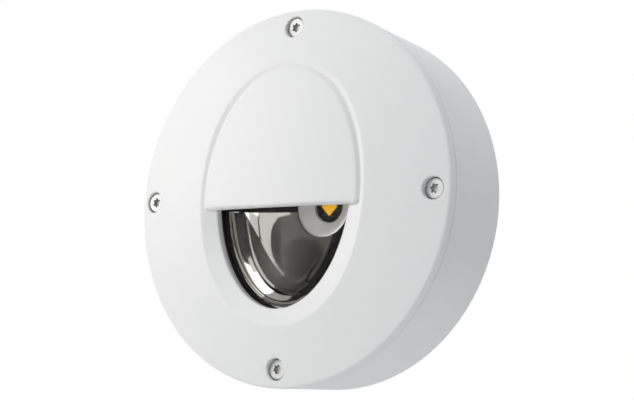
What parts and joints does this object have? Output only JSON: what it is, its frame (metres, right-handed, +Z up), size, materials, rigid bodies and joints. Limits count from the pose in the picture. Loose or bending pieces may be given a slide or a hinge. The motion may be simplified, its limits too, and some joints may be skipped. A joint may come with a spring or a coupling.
{
  "type": "outdoor wall light",
  "caption": "Round surface-mounted outdoor wall light: domed metal cover with a hooded oval window that throws light downwards, on a shallow cylindrical housing.",
  "frame": {"origin": "centre of the housing's flat back face, on the wall", "axes": "+Z up, -Y out of the wall towards the viewer, +X to the right seen from the front"},
  "size_m": [0.17, 0.0514, 0.17],
  "materials": {
    "housing_paint": "fine-textured powder coat",
    "cover_paint": "fine-textured powder coat",
    "seal_rubber": "matt moulded rubber",
    "stainless": "satin stainless steel",
    "zinc_steel": "zinc-plated steel",
    "window_glass": "clear toughened glass",
    "reflector_mirror": "bright anodised, polished",
    "shroud_black": "matt black moulding",
    "thermal_pad": "soft filled silicone",
    "board_white": "white solder mask",
    "solder": "bright tin",
    "carrier_black": "black ceramic package",
    "phosphor": "yellow phosphor coat",
    "lens_clear": "clear silicone dome",
    "holder_metal": "satin turned aluminium",
    "driver_shell": "moulded polycarbonate",
    "driver_board": "green solder mask",
    "coil": "taped winding",
    "capacitor": "sleeved can",
    "terminal_grey": "moulded polyamide",
    "button_orange": "moulded polyamide",
    "clamp_metal": "nickel-free copper alloy",
    "earth_brass": "plain brass",
    "lead_brown": "silicone sleeve",
    "lead_blue": "silicone sleeve",
    "lead_green": "green sleeve with a yellow stripe",
    "lead_red": "silicone sleeve",
    "lead_black": "silicone sleeve"
  },
  "bodies": {
    "root": {"rear_housing": "housing_paint", "cable_grommet": "seal_rubber", "reflector": "reflector_mirror", "light_shroud": "shroud_black", "thermal_pad": "thermal_pad", "led_board": "board_white", "solder_pads": "solder", "led_carrier": "carrier_black", "led_emitter": "phosphor", "led_lens": "lens_clear", "led_holder": "holder_metal", "holder_screws": "zinc_steel", "gear_tray": "zinc_steel", "tray_screws": "zinc_steel", "optic_posts": "zinc_steel", "optic_screws": "zinc_steel", "driver_case": "driver_shell", "driver_lid": "driver_shell", "driver_board": "driver_board", "driver_coil": "coil", "driver_capacitor": "capacitor", "driver_screws": "zinc_steel", "terminal_block": "terminal_grey", "terminal_clamps": "clamp_metal", "earth_lug": "clamp_metal", "earth_screw": "earth_brass", "lead_live": "lead_brown", "lead_neutral": "lead_blue", "lead_earth": "lead_green", "lead_led_plus": "lead_red", "lead_led_minus": "lead_black"},
    "cover": {"front_cover": "cover_paint", "cover_seal": "seal_rubber", "window_glass": "window_glass", "window_seal": "seal_rubber", "window_retainer": "zinc_steel", "retainer_screws": "zinc_steel"},
    "washer_right": {"screw_washer_right": "seal_rubber"},
    "screw_right": {"cover_screw_right": "stainless"},
    "washer_top": {"screw_washer_top": "seal_rubber"},
    "screw_top": {"cover_screw_top": "stainless"},
    "washer_left": {"screw_washer_left": "seal_rubber"},
    "screw_left": {"cover_screw_left": "stainless"},
    "washer_bottom": {"screw_washer_bottom": "seal_rubber"},
    "screw_bottom": {"cover_screw_bottom": "stainless"},
    "button_1": {"release_button_1": "button_orange"},
    "button_2": {"release_button_2": "button_orange"},
    "button_3": {"release_button_3": "button_orange"}
  },
  "joints": [
    {"name": "cover_release", "type": "slide", "parent": "root", "child": "cover", "axis": [0, -1, 0], "range_m": [0, 0.06]},
    {"name": "screw_right_advance", "type": "slide", "parent": "cover", "child": "washer_right", "axis": [0, -1, 0], "range_m": [0, 0.0096]},
    {"name": "screw_right_turn", "type": "hinge", "parent": "washer_right", "child": "screw_right", "pos_m": [0.0767, 0, 0], "axis": [0, -1, 0], "range_deg": [0, 4360]},
    {"name": "screw_top_advance", "type": "slide", "parent": "cover", "child": "washer_top", "axis": [0, -1, 0], "range_m": [0, 0.0096]},
    {"name": "screw_top_turn", "type": "hinge", "parent": "washer_top", "child": "screw_top", "pos_m": [0, 0, 0.0767], "axis": [0, -1, 0], "range_deg": [0, 4360]},
    {"name": "screw_left_advance", "type": "slide", "parent": "cover", "child": "washer_left", "axis": [0, -1, 0], "range_m": [0, 0.0096]},
    {"name": "screw_left_turn", "type": "hinge", "parent": "washer_left", "child": "screw_left", "pos_m": [-0.0767, 0, 0], "axis": [0, -1, 0], "range_deg": [0, 4360]},
    {"name": "screw_bottom_advance", "type": "slide", "parent": "cover", "child": "washer_bottom", "axis": [0, -1, 0], "range_m": [0, 0.0096]},
    {"name": "screw_bottom_turn", "type": "hinge", "parent": "washer_bottom", "child": "screw_bottom", "pos_m": [0, 0, -0.0767], "axis": [0, -1, 0], "range_deg": [0, 4360]},
    {"name": "button_1_press", "type": "slide", "parent": "root", "child": "button_1", "axis": [0, 1, 0], "range_m": [0, 0.0015], "stiffness_N_per_m": 300},
    {"name": "button_2_press", "type": "slide", "parent": "root", "child": "button_2", "axis": [0, 1, 0], "range_m": [0, 0.0015], "stiffness_N_per_m": 300},
    {"name": "button_3_press", "type": "slide", "parent": "root", "child": "button_3", "axis": [0, 1, 0], "range_m": [0, 0.0015], "stiffness_N_per_m": 300}
  ],
  "couplings": [
    {"joint": "screw_right_turn", "follows": "screw_right_advance", "rad_per_m": 7854},
    {"joint": "screw_top_turn", "follows": "screw_top_advance", "rad_per_m": 7854},
    {"joint": "screw_left_turn", "follows": "screw_left_advance", "rad_per_m": 7854},
    {"joint": "screw_bottom_turn", "follows": "screw_bottom_advance", "rad_per_m": 7854}
  ]
}
